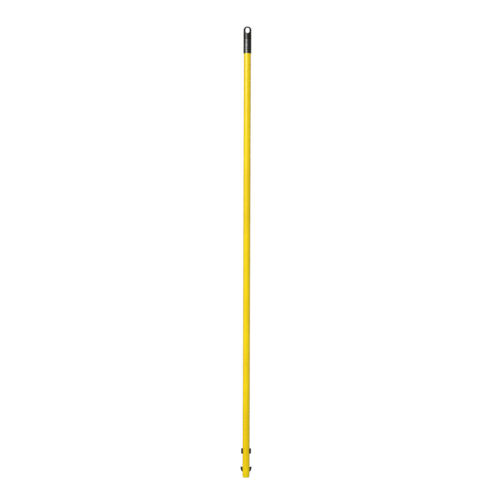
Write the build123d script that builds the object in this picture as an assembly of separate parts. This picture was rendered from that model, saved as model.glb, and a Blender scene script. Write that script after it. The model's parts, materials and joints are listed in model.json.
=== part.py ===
from build123d import *

import os
from math import radians, tan

# A one-piece quick-connect roller pole: a painted steel tube with a hang cap and grip sleeve at
# its upper end, and a two-sided squeeze latch inside its lower end. Two levers hang from pins in a
# split carrier. Each carries a barb, which catches a window of the socket, and a release button,
# which the user squeezes to draw the barb in. A spring behind each button pushes the lever back.
#
# Frame: +Z runs up the pole from the nose face, which is z = 0. The latches face +X and -X. The hole
# of the hang cap runs along Y, -Y is the front, and the rivets are on the back. Units are millimetres.

# ---- driving dimensions ----
POLE_LENGTH = 1473.0
TUBE_RADIUS = 11.75
TUBE_WALL = 0.8
GRIP_RADIUS = 13.05
GRIP_LENGTH = 88.8
CAP_HEIGHT = 41.4          # from the top of the pole to the reveal groove under the cap
BARB_REACH = 6.65          # how far the barb stands out of the tube
BUTTON_REACH = 4.7         # how far the button stands out of the tube
LATCH_ANGLE = 4.4          # degrees that a lever turns when its button is squeezed

# ---- fits ----
SLIP = 0.05                # radial play of fixed parts that slide together at assembly
TURN = 0.05                # radial play of a lever on its pin
SIDE = 0.3                 # play each side of a moving piece

# ---- levels along the pole ----
NOSE_TOP = 13.6            # the tube starts here, and the latch is placed from it
SLOT_FLOOR = NOSE_TOP + 3.0
SPIGOT_TOP = NOSE_TOP + 15.0
CARRIER_BOTTOM = NOSE_TOP + 15.4
CARRIER_TOP = NOSE_TOP + 127.0
BARB_BOTTOM, BARB_SHOULDER, BARB_TIP = NOSE_TOP + 6.0, NOSE_TOP + 13.0, NOSE_TOP + 22.4
ARM_BOTTOM = NOSE_TOP + 29.0       # where the lever widens from its tongue to its arm
WEB_BOTTOM = NOSE_TOP + 51.0       # the carrier has no middle web below this, so that the barbs can meet
BUTTON_LEVEL = NOSE_TOP + 73.0
LOWER_SCREW_LEVEL, UPPER_SCREW_LEVEL = NOSE_TOP + 93.0, NOSE_TOP + 122.0
CARRIER_RIVET_LEVEL = NOSE_TOP + 104.5
PIVOT_LEVEL = NOSE_TOP + 111.0
CHANNEL_TOP = NOSE_TOP + 116.2
CAP_RIVET_LEVEL = 1410.0
SLEEVE_BOTTOM = POLE_LENGTH - GRIP_LENGTH
SEAM_LEVEL = POLE_LENGTH - CAP_HEIGHT
GROOVE_WIDTH = 1.2

# ---- tube ----
TUBE_BORE = TUBE_RADIUS - TUBE_WALL
TUBE_TOP = SEAM_LEVEL - GROOVE_WIDTH / 2
WINDOW_CORNER = 1.5

# ---- latch parts ----
PIVOT_X = 6.0
PIN_RADIUS, PIN_HALF = 1.5, 6.9
EYE_RADIUS = 3.4
LEVER_RADIUS = TUBE_BORE - SIDE    # the arm's outer face follows the bore of the tube
ARM_INNER = 6.4
ARM_HALF = 4.0
TONGUE_HALF = 2.2
TONGUE_OUTER = 10.0
BUTTON_HEIGHT, BUTTON_HALF = 16.8, 6.0
BUTTON_SEAT = 9.0                  # the flat on the lever under the button
BUTTON_TRAVEL = (PIVOT_LEVEL - BUTTON_LEVEL + BUTTON_HEIGHT / 2) * tan(radians(LATCH_ANGLE))
BUTTON_OUTER = TUBE_RADIUS + BUTTON_REACH
POST_OUTER, POST_HALF, POST_HEIGHT = 12.5, 3.0, 11.0
BARB_OUTER = TUBE_RADIUS + BARB_REACH
CARRIER_RADIUS = TUBE_BORE - 0.15
CHANNEL_HALF = ARM_HALF + SIDE
WEB_HALF = 0.9
SPRING_RADIUS, WIRE_RADIUS, SPRING_TURNS = 2.2, 0.3, 5.5
SPRING_POCKET_END = 10.0
SPRING_BOSS_RADIUS, SPRING_BOSS_END = 1.6, 2.4

# ---- fasteners ----
SCREW_RADIUS, SCREW_HEAD_RADIUS, SCREW_HEAD = 1.2, 2.3, 1.9
NOSE_SCREW_Y = 6.4
NOSE_SCREW_SEAT = NOSE_TOP - 5.0
NOSE_SCREW_TIP = NOSE_TOP + 27.5
RIVET_RADIUS, RIVET_HEAD_RADIUS, RIVET_HEAD = 1.95, 4.0, 1.25

# ---- nose ----
NOSE_RADIUS = TUBE_RADIUS - 0.3
NOSE_ROUND = 3.8

# ---- hang cap ----
EYE_HALF, EYE_HEIGHT = 6.1, 19.4
EYE_BOTTOM = POLE_LENGTH - 23.1
NECK_RADIUS = 11.5
CAP_RIM = SEAM_LEVEL + GROOVE_WIDTH / 2
DOME_RISE = 11.2           # less than the radius, so that the dome is a little flatter than half a ball
CHEEK_LEVEL = POLE_LENGTH - GRIP_RADIUS
FLAT_BOTTOM = POLE_LENGTH - 26.0
CAP_CHEEK = 8.6            # half the depth of the head at CHEEK_LEVEL
CAP_CROWN = 5.4            # half the depth of the head at its top
CAP_EDGE = 1.6
CAP_SPIGOT_LENGTH = 41.0
CAP_SPIGOT_BORE = 7.6

OUT = "parts"


def block(x, y, z):
    """A box given by its low and high limits along each axis."""
    low, high = zip(x, y, z)
    size = [b - a for a, b in zip(low, high)]
    middle = [(a + b) / 2 for a, b in zip(low, high)]
    return Pos(*middle) * Box(*size)


def rod_z(radius, low, high, x=0.0, y=0.0):
    return Pos(x, y, (low + high) / 2) * Cylinder(radius, high - low)


def rod_y(radius, low, high, x, z):
    return Pos(x, (low + high) / 2, z) * Rot(90, 0, 0) * Cylinder(radius, high - low)


def rod_x(radius, low, high, z):
    return Pos((low + high) / 2, 0, z) * Rot(0, 90, 0) * Cylinder(radius, high - low)


def side_plate(points, half):
    """A plate of that outline in the XZ plane, reaching half to the front and back."""
    outline = make_face(Polyline(*[(x, 0, z) for x, z in points], close=True))
    return extrude(outline, amount=half, both=True)


def to_left(shape):
    return mirror(shape, about=Plane.YZ)


def level(shape, z, tolerance=0.01):
    """The edges of the shape that lie flat at that height."""
    return [
        e
        for e in shape.edges()
        if abs(e.bounding_box().min.Z - z) < tolerance and abs(e.bounding_box().max.Z - z) < tolerance
    ]


def window(half, low, high):
    """A cutter for one window through the tube's wall on the +X side."""
    cutter = block((TUBE_BORE / 2, TUBE_RADIUS + 2), (-half, half), (low, high))
    return fillet(cutter.edges().filter_by(Axis.X), WINDOW_CORNER)


def ribs(low, high, angles, width=1.2):
    """Crush ribs along a spigot that fits the tube's bore."""
    rib = block((TUBE_BORE - 1.2, TUBE_BORE - 0.02), (-width / 2, width / 2), (low, high))
    return [Rot(0, 0, angle) * rib for angle in angles]


# ---- tube and grip ----
def pole_tube():
    tube = rod_z(TUBE_RADIUS, NOSE_TOP, TUBE_TOP) - rod_z(TUBE_BORE, NOSE_TOP - 1, TUBE_TOP + 1)
    tube = chamfer(level(tube, NOSE_TOP) + level(tube, TUBE_TOP), 0.3)
    button_low = BUTTON_LEVEL - BUTTON_HEIGHT / 2 - 1.5
    button_high = BUTTON_LEVEL + BUTTON_HEIGHT / 2 + 1.2
    cutters = [
        window(BUTTON_HALF + SIDE, button_low, button_high),
        window(TONGUE_HALF + 0.4, SLOT_FLOOR + 0.2, BARB_TIP + 1.8),
    ]
    for cutter in cutters:
        tube = tube - cutter - to_left(cutter)
    for z in (CARRIER_RIVET_LEVEL, CAP_RIVET_LEVEL):
        tube -= rod_y(RIVET_RADIUS + SLIP, TUBE_BORE / 2, TUBE_RADIUS + 2, 0, z)
    return tube


def grip_sleeve():
    top = TUBE_TOP
    sleeve = rod_z(GRIP_RADIUS, SLEEVE_BOTTOM, top)
    sleeve = fillet(level(sleeve, top), 0.5)
    sleeve = fillet(level(sleeve, SLEEVE_BOTTOM), 0.8)
    sleeve -= rod_z(TUBE_RADIUS + SLIP, SLEEVE_BOTTOM - 1, top + 1)
    return sleeve - rod_y(RIVET_HEAD_RADIUS + SIDE, TUBE_BORE / 2, GRIP_RADIUS + 2, 0, CAP_RIVET_LEVEL)


def cap_head():
    """The cap above the reveal groove: round and domed, with flats at the front and back beside the eye."""
    dome_level = POLE_LENGTH - DOME_RISE
    dome = Pos(0, 0, dome_level) * scale(Sphere(GRIP_RADIUS), by=(1, 1, DOME_RISE / GRIP_RADIUS))
    body = rod_z(GRIP_RADIUS, CAP_RIM, dome_level) + dome
    foot, start = (-20, GRIP_RADIUS + 0.6, CAP_RIM - 1), (-20, GRIP_RADIUS + 0.6, FLAT_BOTTOM)
    cheek, crown = (-20, CAP_CHEEK, CHEEK_LEVEL), (-20, CAP_CROWN, POLE_LENGTH + 1)
    sides = [Line(foot, start), Spline(start, cheek, crown, tangents=[(0, -0.4, 1), (0, 0, 1)])]
    sides += [mirror(side, about=Plane.XZ) for side in sides]
    across = [Line(end, (end[0], -end[1], end[2])) for end in (foot, crown)]
    body &= extrude(make_face(sides + across), amount=40, dir=(1, 0, 0))
    edges = [e for e in body.edges() if e.bounding_box().max.Z > CAP_RIM + 2 and abs(e.center().Y) > 1]
    return fillet(edges, CAP_EDGE)


def eye_rims(head):
    """The edges where the eye breaks the front and back of the head."""
    margin = 0.1
    rims = []
    for edge in head.edges():
        box = edge.bounding_box()
        within_width = box.min.X > -EYE_HALF - margin and box.max.X < EYE_HALF + margin
        above, below = box.min.Z > EYE_BOTTOM - margin, box.max.Z < EYE_BOTTOM + EYE_HEIGHT + margin
        on_one_side = box.min.Y > 0 or box.max.Y < 0
        if within_width and above and below and on_one_side:
            rims.append(edge)
    return rims


def hang_cap():
    head = cap_head()
    head = fillet(level(head, CAP_RIM), 0.5)
    low, high = EYE_BOTTOM + EYE_HALF, EYE_BOTTOM + EYE_HEIGHT - EYE_HALF
    eye = block((-EYE_HALF, EYE_HALF), (-20, 20), (low, high))
    eye = eye + rod_y(EYE_HALF, -20, 20, 0, low) + rod_y(EYE_HALF, -20, 20, 0, high)
    head -= eye
    head = fillet(eye_rims(head), 1.0)
    neck = rod_z(NECK_RADIUS, TUBE_TOP + SLIP, SEAM_LEVEL + 1.5)
    spigot_bottom = TUBE_TOP - CAP_SPIGOT_LENGTH
    spigot = rod_z(TUBE_BORE - 0.15, spigot_bottom, SEAM_LEVEL)
    spigot = chamfer(level(spigot, spigot_bottom), 0.8)
    for rib in ribs(spigot_bottom + 3, TUBE_TOP - 1, range(0, 360, 60)):
        spigot += rib
    spigot -= rod_z(CAP_SPIGOT_BORE, spigot_bottom - 1, TUBE_TOP - 4)
    spigot -= rod_y(RIVET_RADIUS + SLIP, 0, TUBE_RADIUS, 0, CAP_RIVET_LEVEL)
    return head + neck + spigot


# ---- nose ----
def nose_plug():
    flange = rod_z(NOSE_RADIUS, 0, NOSE_TOP)
    flange = fillet(level(flange, 0), NOSE_ROUND)
    spigot = rod_z(TUBE_BORE - 0.1, NOSE_TOP - 1, SPIGOT_TOP)
    spigot = chamfer(level(spigot, SPIGOT_TOP), 0.6)
    for rib in ribs(NOSE_TOP + 2, SPIGOT_TOP - 2, (45, 90, 135, 225, 270, 315)):
        spigot += rib
    plug = flange + spigot
    plug -= block((-20, 20), (-TONGUE_HALF - 0.7, TONGUE_HALF + 0.7), (SLOT_FLOOR, SPIGOT_TOP + 1))
    for y in (-NOSE_SCREW_Y, NOSE_SCREW_Y):
        plug -= rod_z(SCREW_HEAD_RADIUS + 0.4, -1, NOSE_SCREW_SEAT, 0, y)
        plug -= rod_z(SCREW_RADIUS + 0.3, 0, SPIGOT_TOP + 1, 0, y)
    return plug


# ---- latch ----
def carrier():
    """The whole carrier, before it is split into its front and rear shells."""
    body = rod_z(CARRIER_RADIUS, CARRIER_BOTTOM, CARRIER_TOP)
    body = chamfer(level(body, CARRIER_TOP) + level(body, CARRIER_BOTTOM), 0.5)
    channel = (-CHANNEL_HALF, CHANNEL_HALF)
    tongue = TONGUE_HALF + 0.7
    body -= block((-12, 12), (-tongue, tongue), (CARRIER_BOTTOM - 1, ARM_BOTTOM - 3))
    body -= block((-12, 12), channel, (ARM_BOTTOM - 4, WEB_BOTTOM))
    button_half, button_rise = BUTTON_HALF + 0.7, BUTTON_HEIGHT / 2 + 2.5
    half_parts = [
        block((WEB_HALF, 12), channel, (WEB_BOTTOM - 1, CHANNEL_TOP)),
        block(
            (BUTTON_SEAT - BUTTON_TRAVEL - 0.4, 12),
            (-button_half, button_half),
            (BUTTON_LEVEL - button_rise, BUTTON_LEVEL + button_rise),
        ),
        rod_y(PIN_RADIUS + 0.02, -PIN_HALF - 0.1, PIN_HALF + 0.1, PIVOT_X, PIVOT_LEVEL),
    ]
    for cutter in half_parts:
        body = body - cutter - to_left(cutter)
    body += rod_y(2.6, -CHANNEL_HALF - 0.5, CHANNEL_HALF + 0.5, 0, LOWER_SCREW_LEVEL)
    body += rod_x(SPRING_BOSS_RADIUS, -SPRING_BOSS_END, SPRING_BOSS_END, BUTTON_LEVEL)
    for z in (LOWER_SCREW_LEVEL, UPPER_SCREW_LEVEL):
        body -= rod_y(SCREW_RADIUS + 0.01, -6.5, 1, 0, z)
        body -= rod_y(SCREW_RADIUS + 0.15, 0, 12, 0, z)
        body -= rod_y(SCREW_HEAD_RADIUS + 0.2, CARRIER_RADIUS - SCREW_HEAD - 0.3, 12, 0, z)
    for y in (-NOSE_SCREW_Y, NOSE_SCREW_Y):
        body -= rod_z(SCREW_RADIUS + 0.01, CARRIER_BOTTOM - 1, NOSE_SCREW_TIP + 0.5, 0, y)
    return body - rod_y(RIVET_RADIUS + SLIP, CHANNEL_HALF + 1.3, 12, 0, CARRIER_RIVET_LEVEL)


def latch_lever():
    """The +X lever: eye, arm, button post, spring pocket, and the barb on a narrow tongue."""
    barb_inner = 8.25
    arm = side_plate(
        [
            (PIVOT_X - 2.9, PIVOT_LEVEL - 1.8),
            (ARM_INNER, PIVOT_LEVEL - 13.0),
            (ARM_INNER, WEB_BOTTOM),
            (7.75, ARM_BOTTOM),
            (12.0, ARM_BOTTOM),
            (12.0, PIVOT_LEVEL - 3.5),
            (PIVOT_X + 3.2, PIVOT_LEVEL + 1.1),
        ],
        ARM_HALF,
    )
    lower_corners = [e for e in arm.edges().filter_by(Axis.X) if e.center().Z < ARM_BOTTOM + 0.1]
    arm = chamfer(lower_corners, 1.7) & rod_z(LEVER_RADIUS, ARM_BOTTOM - 1, CARRIER_TOP)
    arm += rod_y(EYE_RADIUS, -ARM_HALF, ARM_HALF, PIVOT_X, PIVOT_LEVEL)
    tongue = side_plate(
        [
            (7.45, ARM_BOTTOM + 5.0),
            (barb_inner, BARB_TIP),
            (9.75, BARB_BOTTOM),
            (TUBE_RADIUS + 2.2, BARB_BOTTOM),
            (BARB_OUTER - 0.9, BARB_SHOULDER),
            (BARB_OUTER, BARB_TIP),
            (TONGUE_OUTER, BARB_TIP - 1.8),
            (TONGUE_OUTER, ARM_BOTTOM + 5.0),
        ],
        TONGUE_HALF,
    )
    barb_corners = [e for e in tongue.edges().filter_by(Axis.Y) if e.center().X > BARB_OUTER - 2.0]
    tongue = fillet(barb_corners, 0.45)
    barb_rims = [e for e in tongue.edges() if abs(e.center().Y) > TONGUE_HALF - 0.1 and e.center().X > 10.5]
    tongue = fillet(barb_rims, 0.4)
    seat_rise = BUTTON_HEIGHT / 2 + 0.3
    seat = (BUTTON_LEVEL - seat_rise, BUTTON_LEVEL + seat_rise)
    lever = arm + tongue - block((BUTTON_SEAT, 12), (-8, 8), seat)
    post_z = (BUTTON_LEVEL - POST_HEIGHT / 2, BUTTON_LEVEL + POST_HEIGHT / 2)
    lever += block((BUTTON_SEAT - 1, POST_OUTER), (-POST_HALF, POST_HALF), post_z)
    lever -= rod_x(SPRING_RADIUS + WIRE_RADIUS + 0.3, 2.0, SPRING_POCKET_END, BUTTON_LEVEL)
    return lever - rod_y(PIN_RADIUS + TURN, -8, 8, PIVOT_X, PIVOT_LEVEL)


def release_button():
    """The +X button cap, pushed on to the lever's post from outside, with a face as round as the tube."""
    rise = BUTTON_HEIGHT / 2
    depth = (BUTTON_SEAT + SLIP, BUTTON_OUTER)
    cap = block(depth, (-BUTTON_HALF, BUTTON_HALF), (BUTTON_LEVEL - rise, BUTTON_LEVEL + rise))
    cap = fillet(cap.edges().filter_by(Axis.X), 1.6)
    cap &= rod_z(BUTTON_OUTER, BUTTON_LEVEL - 20, BUTTON_LEVEL + 20)
    outer = [f for f in cap.faces().filter_by(GeomType.CYLINDER) if f.center().X > BUTTON_OUTER - 1]
    cap = fillet(outer[0].edges(), 1.1)
    ridge_pitch = 2.4
    for step in range(-2, 3):
        groove = Pos(0, 0, BUTTON_LEVEL + step * ridge_pitch) * Torus(BUTTON_OUTER + 0.15, 0.5)
        cap -= groove
    cavity_half, cavity_rise = POST_HALF + 0.1, POST_HEIGHT / 2 + 0.1
    return cap - block(
        (0, POST_OUTER + 0.1),
        (-cavity_half, cavity_half),
        (BUTTON_LEVEL - cavity_rise, BUTTON_LEVEL + cavity_rise),
    )


def pivot_pin():
    pin = rod_y(PIN_RADIUS, -PIN_HALF, PIN_HALF, PIVOT_X, PIVOT_LEVEL)
    return chamfer(pin.edges().filter_by(GeomType.CIRCLE), 0.25)


def latch_spring():
    """The +X compression spring, from the web to the bottom of the lever's pocket."""
    start = WEB_HALF + WIRE_RADIUS + SLIP
    length = SPRING_POCKET_END - WIRE_RADIUS - SLIP - start
    pitch = length / SPRING_TURNS
    coil = Helix(pitch, length, SPRING_RADIUS, center=(start, 0, BUTTON_LEVEL), direction=(1, 0, 0))
    section = Plane(origin=coil @ 0, z_dir=coil % 0) * Circle(WIRE_RADIUS)
    return sweep(section, path=coil)


# ---- fasteners ----
def screw(shank):
    """A pan-head screw with a cross recess, pointing down -Z from its seat at the origin."""
    head = rod_z(SCREW_HEAD_RADIUS, 0, SCREW_HEAD)
    head = fillet(level(head, SCREW_HEAD), 0.8)
    arm, half = 1.3, 0.25
    for x, y in ((arm, half), (half, arm)):
        head -= block((-x, x), (-y, y), (SCREW_HEAD - 1.0, SCREW_HEAD + 1))
    tip = 1.5
    body = rod_z(SCREW_RADIUS, tip - shank, 0)
    return head + body + Pos(0, 0, tip / 2 - shank) * Cone(0.2, SCREW_RADIUS, tip)


def carrier_screws():
    """Two screws from the back, which close the shells on each other."""
    seat = CARRIER_RADIUS - SCREW_HEAD - 0.3
    made = screw(seat + 6.3)
    return [Pos(0, seat, z) * Rot(-90, 0, 0) * made for z in (LOWER_SCREW_LEVEL, UPPER_SCREW_LEVEL)]


def nose_screws():
    """Two long screws from below, which hold the nose to the carrier."""
    made = screw(NOSE_SCREW_TIP - NOSE_SCREW_SEAT)
    return [Pos(0, y, NOSE_SCREW_SEAT) * Rot(180, 0, 0) * made for y in (-NOSE_SCREW_Y, NOSE_SCREW_Y)]


def rivet(z, inner_end):
    """A blind rivet through the back of the tube, its head seated on the tube's round."""
    face = TUBE_RADIUS + RIVET_HEAD
    dome_radius = (RIVET_HEAD_RADIUS**2 + RIVET_HEAD**2) / (2 * RIVET_HEAD) + 1.5
    head = rod_y(RIVET_HEAD_RADIUS, TUBE_RADIUS - 2, face, 0, z) & (
        Pos(0, face - dome_radius, z) * Sphere(dome_radius)
    )
    head -= rod_z(TUBE_RADIUS + 0.02, z - 10, z + 10)
    body = rod_y(RIVET_RADIUS, inner_end, TUBE_RADIUS + 0.6, 0, z)
    return head + body - rod_y(0.9, face - 0.5, face + 1, 0, z)


def main():
    os.makedirs(OUT, exist_ok=True)
    shells = carrier()
    lever, button, pin, spring = latch_lever(), release_button(), pivot_pin(), latch_spring()
    parts = {
        "pole_tube": pole_tube(),
        "grip_sleeve": grip_sleeve(),
        "hang_cap": hang_cap(),
        "nose_plug": nose_plug(),
        "carrier_front_shell": shells & block((-20, 20), (-20, 0), (0, 200)),
        "carrier_rear_shell": shells & block((-20, 20), (0, 20), (0, 200)),
        "right_latch_lever": lever,
        "left_latch_lever": to_left(lever),
        "right_release_button": button,
        "left_release_button": to_left(button),
        "right_pivot_pin": pin,
        "left_pivot_pin": to_left(pin),
        "right_latch_spring": spring,
        "left_latch_spring": to_left(spring),
        "carrier_screws": Compound(carrier_screws()),
        "nose_screws": Compound(nose_screws()),
        "carrier_rivet": rivet(CARRIER_RIVET_LEVEL, CHANNEL_HALF + 1.5),
        "cap_rivet": rivet(CAP_RIVET_LEVEL, CAP_SPIGOT_BORE - 0.6),
    }
    for name, shape in parts.items():
        export_step(shape, f"{OUT}/{name}.step")


main()
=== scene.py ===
import json
import math

import bmesh
import bpy
from mathutils import Matrix, Vector

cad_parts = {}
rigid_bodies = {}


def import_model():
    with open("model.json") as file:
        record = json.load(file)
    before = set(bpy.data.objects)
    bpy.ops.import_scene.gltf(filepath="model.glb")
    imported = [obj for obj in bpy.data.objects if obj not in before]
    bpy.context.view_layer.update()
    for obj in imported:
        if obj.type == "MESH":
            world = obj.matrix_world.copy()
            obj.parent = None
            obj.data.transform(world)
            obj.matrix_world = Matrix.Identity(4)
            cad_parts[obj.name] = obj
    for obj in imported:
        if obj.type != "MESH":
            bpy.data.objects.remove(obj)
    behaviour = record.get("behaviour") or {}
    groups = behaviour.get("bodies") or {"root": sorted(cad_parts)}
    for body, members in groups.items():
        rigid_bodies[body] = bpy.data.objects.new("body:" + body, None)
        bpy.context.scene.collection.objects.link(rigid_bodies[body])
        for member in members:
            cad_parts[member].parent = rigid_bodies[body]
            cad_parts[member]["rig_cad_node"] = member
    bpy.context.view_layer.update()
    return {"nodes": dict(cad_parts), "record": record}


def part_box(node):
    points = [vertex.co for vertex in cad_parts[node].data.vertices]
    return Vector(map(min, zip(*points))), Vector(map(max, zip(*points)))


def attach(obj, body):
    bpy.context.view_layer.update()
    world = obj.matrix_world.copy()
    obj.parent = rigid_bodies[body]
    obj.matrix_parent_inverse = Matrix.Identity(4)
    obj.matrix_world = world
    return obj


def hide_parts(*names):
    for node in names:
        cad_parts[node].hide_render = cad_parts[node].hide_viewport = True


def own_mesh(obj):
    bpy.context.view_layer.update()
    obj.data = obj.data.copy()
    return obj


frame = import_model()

MM = 0.001
nodes = frame["nodes"]


# ---------------------------------------------------------------- materials
class Shader:
    """A node tree for one material, built in code."""

    def __init__(self, name):
        self.material = bpy.data.materials.new(name)
        self.material.use_nodes = True
        self.tree = self.material.node_tree
        self.tree.nodes.clear()
        self.out = self.tree.nodes.new("ShaderNodeOutputMaterial")
        self.bsdf = self.tree.nodes.new("ShaderNodeBsdfPrincipled")
        self.tree.links.new(self.bsdf.outputs[0], self.out.inputs["Surface"])
        self.coords = self.tree.nodes.new("ShaderNodeTexCoord").outputs["Object"]

    def set(self, socket, value):
        target = socket if isinstance(socket, bpy.types.NodeSocket) else self.bsdf.inputs[socket]
        if isinstance(value, bpy.types.NodeSocket):
            self.tree.links.new(value, target)
        else:
            target.default_value = value
        return self

    def node(self, kind, *inputs, **settings):
        made = self.tree.nodes.new(kind)
        for key, value in settings.items():
            setattr(made, key, value)
        for index, value in enumerate(inputs):
            if value is not None:
                self.set(made.inputs[index], value)
        return made

    def scaled(self, x, y, z):
        """The object's coordinates, stretched."""
        made = self.node("ShaderNodeMapping")
        self.set(made.inputs["Vector"], self.coords)
        made.inputs["Scale"].default_value = (x, y, z)
        return made.outputs[0]

    def noise(self, scale, detail=2.0, rough=0.5, vector=None, distortion=0.0):
        made = self.node("ShaderNodeTexNoise")
        self.set(made.inputs["Vector"], vector if vector is not None else self.coords)
        made.inputs["Scale"].default_value = scale
        made.inputs["Detail"].default_value = detail
        made.inputs["Roughness"].default_value = rough
        made.inputs["Distortion"].default_value = distortion
        return made.outputs["Fac"]

    def voronoi(self, scale, vector=None, feature="F1"):
        made = self.node("ShaderNodeTexVoronoi", feature=feature)
        self.set(made.inputs["Vector"], vector if vector is not None else self.coords)
        made.inputs["Scale"].default_value = scale
        return made.outputs["Distance"]

    def ramp(self, value, low, high, start=0.0, end=1.0, smooth=True):
        made = self.node("ShaderNodeMapRange", interpolation_type="SMOOTHSTEP" if smooth else "LINEAR")
        self.set(made.inputs["Value"], value)
        made.inputs["From Min"].default_value = low
        made.inputs["From Max"].default_value = high
        made.inputs["To Min"].default_value = start
        made.inputs["To Max"].default_value = end
        return made.outputs["Result"]

    def maths(self, operation, a, b=0.0):
        return self.node("ShaderNodeMath", a, b, operation=operation).outputs[0]

    def mix(self, factor, a, b):
        made = self.node("ShaderNodeMix", data_type="RGBA")
        self.set(made.inputs["Factor"], factor)
        for key, value in (("A", a), ("B", b)):
            socket = [s for s in made.inputs if s.name == key and s.type == "RGBA"][0]
            self.set(socket, value if isinstance(value, bpy.types.NodeSocket) else (*value[:3], 1.0))
        return [s for s in made.outputs if s.type == "RGBA"][0]

    def edges(self, radius, low=0.03, high=0.25):
        """1 on the edges of the shape, 0 away from them."""
        bevel = self.node("ShaderNodeBevel", samples=4)
        bevel.inputs["Radius"].default_value = radius
        geometry = self.node("ShaderNodeNewGeometry")
        true_normal = geometry.outputs["Normal"]
        dot = self.node("ShaderNodeVectorMath", bevel.outputs[0], true_normal, operation="DOT_PRODUCT")
        return self.ramp(self.maths("SUBTRACT", 1.0, dot.outputs["Value"]), low, high)

    def bumps(self, *layers):
        """Layers are (height, strength, distance in metres), from coarse to fine."""
        normal = None
        for height, strength, distance in layers:
            made = self.node("ShaderNodeBump")
            made.inputs["Strength"].default_value = strength
            made.inputs["Distance"].default_value = distance
            self.set(made.inputs["Height"], height)
            if normal is not None:
                self.set(made.inputs["Normal"], normal)
            normal = made.outputs[0]
        return self.set("Normal", normal)


def powder_coat():
    """Yellow powder coat on steel: orange peel, faint mottling and scuffs, steel showing at worn edges."""
    s = Shader("yellow_powder_coat")
    deep, light, dusty = (0.79, 0.545, 0.0009), (0.86, 0.630, 0.0014), (0.82, 0.63, 0.006)
    mottle = s.noise(22.0, 3.0, vector=s.scaled(1.0, 1.0, 0.35))
    colour = s.mix(s.ramp(mottle, 0.35, 0.65), deep, light)
    scuff = s.noise(140.0, 4.0, 0.65, vector=s.scaled(1.0, 1.0, 0.06))
    scuffed = s.ramp(scuff, 0.66, 0.80)
    colour = s.mix(s.maths("MULTIPLY", scuffed, 0.35), colour, dusty)
    chip = s.ramp(s.noise(430.0, 4.0, 0.6), 0.56, 0.66)
    worn = s.maths("MULTIPLY", s.edges(0.35 * MM), chip)
    colour = s.mix(worn, colour, (0.42, 0.40, 0.37))
    s.set("Base Color", colour)
    s.set("Metallic", worn)
    rough = s.ramp(s.noise(60.0, 3.0), 0.3, 0.7, 0.33, 0.36)
    s.set("Specular IOR Level", 0.38)
    s.set("Specular Tint", (1.0, 0.97, 0.52, 1.0))
    s.set("Roughness", s.maths("ADD", rough, s.maths("MULTIPLY", scuffed, 0.06)))
    peel = s.noise(950.0, 2.0, 0.45)
    fine = s.noise(4200.0, 2.0, 0.6)
    paint_depth = s.maths("SUBTRACT", 1.0, worn)
    s.bumps((peel, 0.09, 0.05 * MM), (fine, 0.08, 0.02 * MM), (paint_depth, 0.5, 0.04 * MM))
    return s.material


def moulded_yellow():
    """Yellow plastic of the nose, a shade greener than the paint, scuffed on the rim that meets sockets."""
    s = Shader("yellow_moulded_plastic")
    tone = s.ramp(s.noise(70.0, 3.0), 0.35, 0.65)
    colour = s.mix(tone, (0.72, 0.570, 0.0012), (0.78, 0.625, 0.0020))
    rub = s.ramp(s.noise(420.0, 4.0, 0.7, vector=s.scaled(1.0, 1.0, 0.2)), 0.58, 0.74)
    rim = s.maths("MULTIPLY", s.edges(1.6 * MM, 0.004, 0.09), rub)
    colour = s.mix(s.maths("MULTIPLY", rim, 0.55), colour, (0.46, 0.37, 0.10))
    s.set("Base Color", colour)
    s.set("Roughness", s.ramp(s.noise(260.0, 3.0), 0.3, 0.7, 0.34, 0.46))
    s.set("Specular IOR Level", 0.22)
    s.set("Specular Tint", (1.0, 0.95, 0.55, 1.0))
    s.bumps((s.noise(2600.0, 2.0, 0.6), 0.25, 0.02 * MM), (rim, 0.3, 0.03 * MM))
    return s.material


def moulded_black(name, low, high, rough, grain, streaks=False, shine=0.5):
    """Dark moulded plastic: fine spark-eroded grain, uneven gloss, lighter rubbed edges."""
    s = Shader(name)
    s.set("Specular IOR Level", shine)
    tone = s.ramp(s.noise(240.0, 4.0, 0.6), 0.30, 0.72)
    colour = s.mix(tone, low, high)
    rubbed = s.ramp(s.noise(650.0, 4.0, 0.7), 0.45, 0.70)
    edge = s.maths("MULTIPLY", s.edges(0.8 * MM, 0.01, 0.14), rubbed)
    colour = s.mix(s.maths("MULTIPLY", edge, 0.55), colour, tuple(c * 3.2 + 0.02 for c in high))
    s.set("Base Color", colour)
    gloss = s.noise(180.0, 4.0, 0.65, vector=s.scaled(1.0, 1.0, 0.12 if streaks else 1.0))
    uneven = s.ramp(gloss, 0.32, 0.70, rough - 0.02, rough + 0.025)
    s.set("Roughness", s.maths("ADD", uneven, s.maths("MULTIPLY", edge, 0.12)))
    s.set("IOR", 1.5)
    pits = s.voronoi(grain)
    sink = s.noise(320.0, 2.0)
    fine = s.noise(grain * 2.3, 2.0)
    s.bumps((sink, 0.04, 0.03 * MM), (pits, 0.20, 0.022 * MM), (fine, 0.2, 0.012 * MM))
    return s.material


def metal(name, low, high, rough, lines=None, spots=None):
    """Bare or plated metal, with drawn or turned lines, or the mottle of zinc."""
    s = Shader(name)
    grain = s.noise(700.0, 4.0, 0.65, vector=s.scaled(*(lines or (1.0, 1.0, 1.0))))
    colour = s.mix(s.ramp(grain, 0.3, 0.7), low, high)
    if spots:
        patch = s.ramp(s.noise(380.0, 3.0), 0.52, 0.66)
        colour = s.mix(s.maths("MULTIPLY", patch, 0.5), colour, spots)
    s.set("Base Color", colour)
    s.set("Metallic", 1.0)
    s.set("Roughness", s.ramp(grain, 0.25, 0.75, rough - 0.07, rough + 0.10))
    s.bumps((grain, 0.25, 0.012 * MM), (s.noise(3500.0, 2.0), 0.15, 0.008 * MM))
    return s.material


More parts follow.
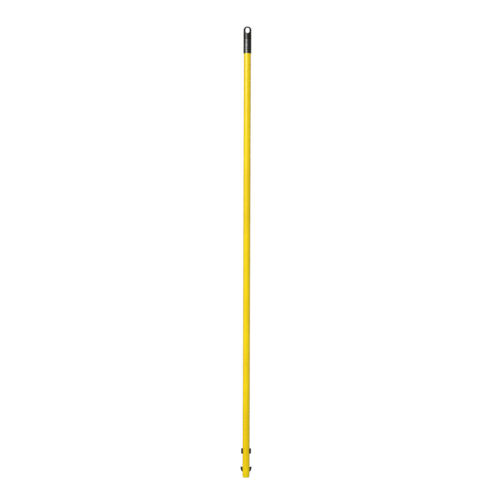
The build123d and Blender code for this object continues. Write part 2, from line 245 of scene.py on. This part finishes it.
def studio_white():
    """Seamless paper for the floor, lit from within so that it stays white."""
    s = Shader("studio_paper")
    fibre = s.ramp(s.noise(9.0, 5.0), 0.3, 0.7)
    s.set("Base Color", s.mix(fibre, (0.05, 0.05, 0.05), (0.06, 0.06, 0.06)))
    s.set("Roughness", 0.9)
    s.set("Specular IOR Level", 0.0)
    s.set("Emission Color", (1.0, 1.0, 1.0, 1.0))
    s.set("Emission Strength", 1.0)
    s.bumps((s.noise(600.0, 3.0), 0.05, 0.1 * MM))
    return s.material


GROUND_ALONG_Y = (1.0, 0.08, 1.0)
ZINC_SPOTS = (0.56, 0.55, 0.47)
# The darker and the lighter tone of each moulded plastic.
GRIP_BLACK = (0.016, 0.0138, 0.0116), (0.021, 0.0182, 0.0155)
LATCH_BLACK = (0.009, 0.009, 0.0095), (0.016, 0.016, 0.017)
CARRIER_GREY = (0.10, 0.105, 0.11), (0.14, 0.145, 0.15)

SURFACES = {
    "yellow_paint": powder_coat(),
    "yellow_plastic": moulded_yellow(),
    "black_plastic": moulded_black("black_satin_plastic", *GRIP_BLACK, 0.36, 2600.0, streaks=True),
    "black_nylon": moulded_black("black_glass_filled_nylon", *LATCH_BLACK, 0.46, 1900.0),
    "grey_nylon": moulded_black("dark_grey_nylon", *CARRIER_GREY, 0.55, 2200.0),
    "spring_steel": metal("drawn_spring_wire", (0.40, 0.40, 0.41), (0.60, 0.60, 0.61), 0.28),
    "pin_steel": metal(
        "ground_pin_steel", (0.48, 0.48, 0.49), (0.66, 0.66, 0.67), 0.20, lines=GROUND_ALONG_Y,
    ),
    "screw_zinc": metal("zinc_plate", (0.50, 0.51, 0.53), (0.70, 0.71, 0.72), 0.30, spots=ZINC_SPOTS),
    "rivet_aluminium": metal("rivet_aluminium", (0.62, 0.63, 0.64), (0.80, 0.81, 0.82), 0.32),
}

# The cap is duller than the sleeve below it.
DULL_CAP = moulded_black("black_dull_plastic", *GRIP_BLACK, 0.37, 2200.0, streaks=True, shine=0.235)


# ---------------------------------------------------------------- pieces
def new_object(name, mesh):
    made = bpy.data.objects.new(name, mesh)
    bpy.context.scene.collection.objects.link(made)
    return made


def dress(piece, slot, body, stands_for=()):
    """Gives a piece the material of its slot, puts it on its body, and hides the CAD nodes that it stands
    for.
    """
    piece.data.materials.clear()
    piece.data.materials.append(SURFACES[slot])
    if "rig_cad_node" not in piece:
        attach(piece, body)
    if stands_for:
        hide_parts(*stands_for)
    return piece


def baked(piece):
    """The piece with its modifiers applied."""
    graph = bpy.context.evaluated_depsgraph_get()
    mesh = bpy.data.meshes.new_from_object(piece.evaluated_get(graph))
    piece.modifiers.clear()
    old, piece.data = piece.data, mesh
    bpy.data.meshes.remove(old)
    return piece


def smooth(piece, angle=32.0):
    """Smooth shading, with creases where faces meet at more than that angle."""
    piece.data.shade_smooth()
    piece.data.set_sharp_from_angle(angle=math.radians(angle))
    return piece


def lathe(name, profile, segments=128):
    """A closed profile of (radius, height), in millimetres, turned about Z."""
    mesh = bmesh.new()
    rings = []
    for radius, height in profile:
        ring = []
        for k in range(segments):
            turn = 2 * math.pi * k / segments
            place = Vector((radius * math.cos(turn), radius * math.sin(turn), height)) * MM
            ring.append(mesh.verts.new(place))
        rings.append(ring)
    for low, high in zip(rings, rings[1:] + rings[:1]):
        for k in range(segments):
            after = (k + 1) % segments
            mesh.faces.new((low[k], low[after], high[after], high[k]))
    bmesh.ops.recalc_face_normals(mesh, faces=mesh.faces)
    data = bpy.data.meshes.new(name)
    mesh.to_mesh(data)
    mesh.free()
    return new_object(name, data)


def prism_x(name, half, low, high, corner, reach, steps=8):
    """A bar along X with a rounded-rectangle section, in millimetres."""
    outline = []
    for cy, cz, start in (
        (half - corner, high - corner, 0),
        (-half + corner, high - corner, 90),
        (-half + corner, low + corner, 180),
        (half - corner, low + corner, 270),
    ):
        for k in range(steps + 1):
            turn = math.radians(start + 90 * k / steps)
            outline.append((cy + corner * math.cos(turn), cz + corner * math.sin(turn)))
    mesh = bmesh.new()
    ends = [[mesh.verts.new((x * MM, y * MM, z * MM)) for y, z in outline] for x in (-reach, reach)]
    mesh.faces.new(ends[0])
    mesh.faces.new(ends[1][::-1])
    for k in range(len(outline)):
        after = (k + 1) % len(outline)
        mesh.faces.new((ends[0][k], ends[1][k], ends[1][after], ends[0][after]))
    bmesh.ops.recalc_face_normals(mesh, faces=mesh.faces)
    data = bpy.data.meshes.new(name)
    mesh.to_mesh(data)
    mesh.free()
    return new_object(name, data)


def rod_y(name, radius, start, end, height, segments=48):
    """A rod along Y, in millimetres."""
    mesh = bmesh.new()
    turned = Matrix.Rotation(math.radians(90), 4, "X")
    place = Matrix.Translation((0, (start + end) / 2 * MM, height * MM)) @ turned
    bmesh.ops.create_cone(
        mesh, cap_ends=True, segments=segments, radius1=radius * MM, radius2=radius * MM,
        depth=(end - start) * MM, matrix=place,
    )
    data = bpy.data.meshes.new(name)
    mesh.to_mesh(data)
    mesh.free()
    return new_object(name, data)


def cut(piece, *cutters):
    """Cuts the cutters out of the piece and deletes them."""
    for cutter in cutters:
        modifier = piece.modifiers.new("cut", "BOOLEAN")
        modifier.operation = "DIFFERENCE"
        modifier.solver = "EXACT"
        modifier.object = cutter
        baked(piece)
        bpy.data.objects.remove(cutter)
    return piece


def millimetres(node):
    low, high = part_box(node)
    return low / MM, high / MM


def arc(cx, cz, radius, start, end, steps):
    """Points on a circle in a lathe's profile, angles in degrees."""
    made = []
    for k in range(steps + 1):
        turn = math.radians(start + (end - start) * k / steps)
        made.append((cx + radius * math.cos(turn), cz + radius * math.sin(turn)))
    return made


# The tube's wall and openings in millimetres; the levels are counted from the tube's lower end.
WALL = 0.8
TUBE_EDGE = 0.25
RIVET_HOLE = 2.0
WINDOW_CORNER = 1.5
BARB_WINDOW_HALF, BARB_WINDOW_LOW, BARB_WINDOW_HIGH = 2.6, 3.2, 24.2
BUTTON_GAP_SIDE, BUTTON_GAP_BELOW, BUTTON_GAP_ABOVE = 0.3, 1.5, 1.2
# Where the wall is divided, so that no long thin faces meet at the openings.
WALL_RINGS = 36, 52, 94, 118, 286, 586, 886, 1186
RING_OFF_RIVET = 8


def make_tube():
    """The painted tube, with its latch windows and rivet holes."""
    low, high = millimetres("pole_tube")
    outer = high.x
    inner = outer - WALL
    button_low, button_high = millimetres("right_release_button")
    carrier_rivet_z = sum(v.z for v in millimetres("carrier_rivet")) / 2
    cap_rivet_z = sum(v.z for v in millimetres("cap_rivet")) / 2
    levels = [low.z + step for step in WALL_RINGS]
    levels += [cap_rivet_z - RING_OFF_RIVET, cap_rivet_z + RING_OFF_RIVET]
    edge, reach = TUBE_EDGE, outer + 5
    profile = arc(outer - edge, low.z + edge, edge, -90, 0, 4)
    profile += [(outer, z) for z in levels]
    profile += arc(outer - edge, high.z - edge, edge, 0, 90, 4)
    profile += arc(inner + edge, high.z - edge, edge, 90, 180, 4)
    profile += [(inner, z) for z in reversed(levels)]
    profile += arc(inner + edge, low.z + edge, edge, 180, 270, 4)
    tube = lathe("painted_tube", profile, 160)
    button_span = button_low.z - BUTTON_GAP_BELOW, button_high.z + BUTTON_GAP_ABOVE
    barb_span = low.z + BARB_WINDOW_LOW, low.z + BARB_WINDOW_HIGH
    cut(
        tube,
        prism_x("button_windows", button_high.y + BUTTON_GAP_SIDE, *button_span, WINDOW_CORNER, reach),
        prism_x("barb_windows", BARB_WINDOW_HALF, *barb_span, WINDOW_CORNER, reach),
        rod_y("carrier_rivet_hole", RIVET_HOLE, inner / 2, reach, carrier_rivet_z),
        rod_y("cap_rivet_hole", RIVET_HOLE, inner / 2, reach, cap_rivet_z),
    )
    return dress(smooth(tube), "yellow_paint", "pole", ["pole_tube"])


WIRE_RADIUS = 0.3
# The turns of a spring, and how many of them lie closed at each end.
COIL_TURNS, CLOSED_TURNS = 7.0, 0.95


def coil(name, side, node):
    """A compression spring along X with closed end turns, in the box of its CAD node."""
    low, high = millimetres(node)
    wire = WIRE_RADIUS
    mean = (high.z - low.z) / 2 - wire
    centre_z = (low.z + high.z) / 2
    near, far = sorted((abs(low.x), abs(high.x)))
    turns, closed, steps, ring = COIL_TURNS, CLOSED_TURNS, 40, 12
    pitch_closed = 2 * wire
    pitch_open = (far - near - 2 * wire - 2 * closed * pitch_closed) / (turns - 2 * closed)
    points = []
    total = int(turns * steps)
    for k in range(total + 1):
        t = k / steps
        rise = min(t, closed) * pitch_closed + max(0.0, min(t, turns - closed) - closed) * pitch_open
        rise += max(0.0, t - (turns - closed)) * pitch_closed
        turn = 2 * math.pi * t
        x = side * (near + wire + rise)
        points.append(Vector((x, mean * math.cos(turn), centre_z + side * mean * math.sin(turn))))
    mesh = bmesh.new()
    rings = []
    for k, point in enumerate(points):
        ahead = (points[min(k + 1, total)] - points[max(k - 1, 0)]).normalized()
        outward = Vector((0, point.y, point.z - centre_z)).normalized()
        across = ahead.cross(outward).normalized()
        outward = across.cross(ahead)
        rings.append([
            mesh.verts.new((point + wire * (math.cos(a) * outward + math.sin(a) * across)) * MM)
            for a in (2 * math.pi * j / ring for j in range(ring))
        ])
    for low_ring, high_ring in zip(rings, rings[1:]):
        for j in range(ring):
            after = (j + 1) % ring
            mesh.faces.new((low_ring[j], low_ring[after], high_ring[after], high_ring[j]))
    mesh.faces.new(rings[0])
    mesh.faces.new(rings[-1])
    bmesh.ops.recalc_face_normals(mesh, faces=mesh.faces)
    data = bpy.data.meshes.new(name)
    mesh.to_mesh(data)
    mesh.free()
    return smooth(new_object(name, data), 60.0)


SLOT_OF = {row["node"]: row["material_slot"] for row in frame["record"]["subparts"]}
BODY_OF = {node: body for body, group in frame["record"]["behaviour"]["bodies"].items() for node in group}

for node, piece in nodes.items():
    dress(piece, SLOT_OF[node], BODY_OF[node])
nodes["hang_cap"].data.materials[0] = DULL_CAP

make_tube()

# The latch springs, drawn as coils on the pole's body in place of their CAD nodes. A spring keeps 0.66 of
# its length when its latch is squeezed fully; these coils keep their drawn length.
for side, sign in (("left", -1), ("right", 1)):
    node = f"{side}_latch_spring"
    spring = dress(coil(f"{side}_spring_coil", sign, node), "spring_steel", "pole", [node])
    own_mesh(spring)

# ---------------------------------------------------------------- studio
FRAME_WIDTH = 1.633
VIEW_X, VIEW_Z = 0.0106, 0.7429
LENS, SENSOR = 100.0, 36.0
ROLL = math.radians(0.19)
distance = FRAME_WIDTH * LENS / SENSOR

camera_data = bpy.data.cameras.new("camera")
camera_data.lens = LENS
camera_data.sensor_width = SENSOR
camera_data.dof.use_dof = False
camera = bpy.data.objects.new("camera", camera_data)
camera.matrix_world = (
    Matrix.Translation((VIEW_X, -distance, VIEW_Z))
    @ Matrix.Rotation(math.radians(90), 4, "X")
    @ Matrix.Rotation(ROLL, 4, "Z")
)
bpy.context.scene.collection.objects.link(camera)
bpy.context.scene.camera = camera


def softbox(name, place, aim, width, height, power, glossy=True, diffuse=True):
    data = bpy.data.lights.new(name, "AREA")
    data.shape = "RECTANGLE"
    data.size = width
    data.size_y = height
    data.energy = power
    made = bpy.data.objects.new(name, data)
    made.location = place
    made.rotation_euler = (Vector(aim) - Vector(place)).to_track_quat("-Z", "Y").to_euler()
    made.visible_camera = False
    made.visible_glossy = glossy
    made.visible_diffuse = diffuse
    bpy.context.scene.collection.objects.link(made)
    return made


softbox("key", (-0.93, -1.50, 1.98), (0, 0, 1.50), 1.15, 1.0, 90.0, diffuse=False)
softbox("left_fill", (-1.55, -3.3, 1.08), (0, 0, 0.84), 1.6, 2.2, 86.0, glossy=False)
softbox("back_fill", (1.1, 3.3, 0.80), (0, 0, 0.74), 1.6, 2.2, 55.0, glossy=False)
softbox("back_strip", (0.95, 1.75, 0.95), (0, 0, 0.75), 0.45, 2.2, 9.0, diffuse=False)

AMBIENT, REFLECTED = 0.56, 0.07
FLOOR_LEVEL, SWEEP_START, SWEEP_RADIUS, WALL_TOP, HALF_FLOOR = -0.30, 3.0, 2.5, 7.0, 9.0
sweep = [(y, 0.0) for y in (-HALF_FLOOR, -4.5, -1.5, 0.0, 1.5)]
for step in range(13):
    turn = math.radians(90 * step / 12)
    sweep.append((SWEEP_START + SWEEP_RADIUS * math.sin(turn), SWEEP_RADIUS * (1 - math.cos(turn))))
sweep.append((SWEEP_START + SWEEP_RADIUS, WALL_TOP))
floor_mesh = bmesh.new()
edges = [
    [floor_mesh.verts.new((x, y, FLOOR_LEVEL + z)) for y, z in sweep] for x in (-HALF_FLOOR, HALF_FLOOR)
]
for k in range(len(sweep) - 1):
    floor_mesh.faces.new((edges[0][k], edges[1][k], edges[1][k + 1], edges[0][k + 1]))
floor_data = bpy.data.meshes.new("floor")
floor_mesh.to_mesh(floor_data)
floor_mesh.free()
floor = smooth(new_object("floor", floor_data), 80.0)
floor.data.materials.append(studio_white())
floor.visible_glossy = False
floor.visible_diffuse = False

world = bpy.data.worlds.new("studio")
world.use_nodes = True
tree = world.node_tree
tree.nodes.clear()
path = tree.nodes.new("ShaderNodeLightPath")
output = tree.nodes.new("ShaderNodeOutputWorld")


def sky(strength):
    made = tree.nodes.new("ShaderNodeBackground")
    made.inputs["Strength"].default_value = strength
    made.inputs["Color"].default_value = (1.0, 1.0, 1.0, 1.0)
    return made.outputs[0]


def either(ray, otherwise, this):
    made = tree.nodes.new("ShaderNodeMixShader")
    tree.links.new(path.outputs[ray], made.inputs[0])
    tree.links.new(otherwise, made.inputs[1])
    tree.links.new(this, made.inputs[2])
    return made.outputs[0]


lit = either("Is Glossy Ray", sky(AMBIENT), sky(REFLECTED))
tree.links.new(either("Is Camera Ray", lit, sky(1.0)), output.inputs[0])
world.cycles.sampling_method = "NONE"
bpy.context.scene.world = world
bpy.context.scene.view_settings.view_transform = "Standard"
bpy.context.scene.view_settings.look = "None"
